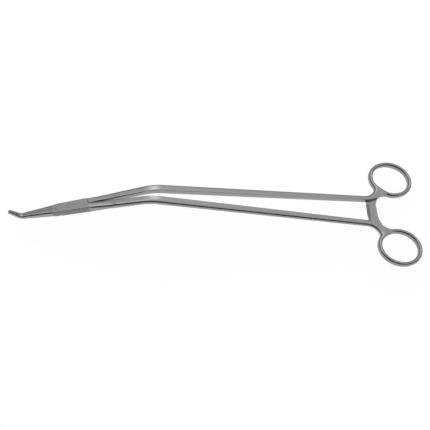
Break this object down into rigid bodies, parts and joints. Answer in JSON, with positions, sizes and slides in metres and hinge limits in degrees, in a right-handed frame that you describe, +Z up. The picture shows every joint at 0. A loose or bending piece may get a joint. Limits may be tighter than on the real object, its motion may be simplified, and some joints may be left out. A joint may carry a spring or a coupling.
{
  "type": "surgical clamp",
  "caption": "Long ring-handled surgical clamp with a box lock, angled shanks, a ratchet and fine cross-serrated jaws whose tips turn up; shown closed.",
  "frame": {"origin": "middle of the closed clamp's bounding box, on the surface it lies on", "axes": "+X along the clamp towards the finger rings, +Y towards the ring of the tongue half, +Z up"},
  "size_m": [0.2598, 0.0746, 0.0321],
  "materials": {
    "forging_steel": "satin",
    "pin_steel": "ground flush"
  },
  "bodies": {
    "box_half": {"box_lock_body": "forging_steel", "box_half_jaw": "forging_steel", "box_half_tip": "forging_steel", "box_half_front_shank": "forging_steel", "box_half_handle_shank": "forging_steel", "box_half_ratchet": "forging_steel", "box_half_finger_ring": "forging_steel", "pivot_pin": "pin_steel"},
    "tongue_half": {"lock_tongue": "forging_steel", "tongue_half_jaw": "forging_steel", "tongue_half_tip": "forging_steel", "tongue_half_front_shank": "forging_steel", "tongue_half_handle_shank": "forging_steel", "tongue_half_ratchet": "forging_steel", "tongue_half_finger_ring": "forging_steel"}
  },
  "joints": [
    {"name": "box_lock_pivot", "type": "hinge", "parent": "box_half", "child": "tongue_half", "pos_m": [-0.09109, 0, 0.0126], "axis": [-0.348, 0, 0.9375], "range_deg": [0, 24]}
  ]
}
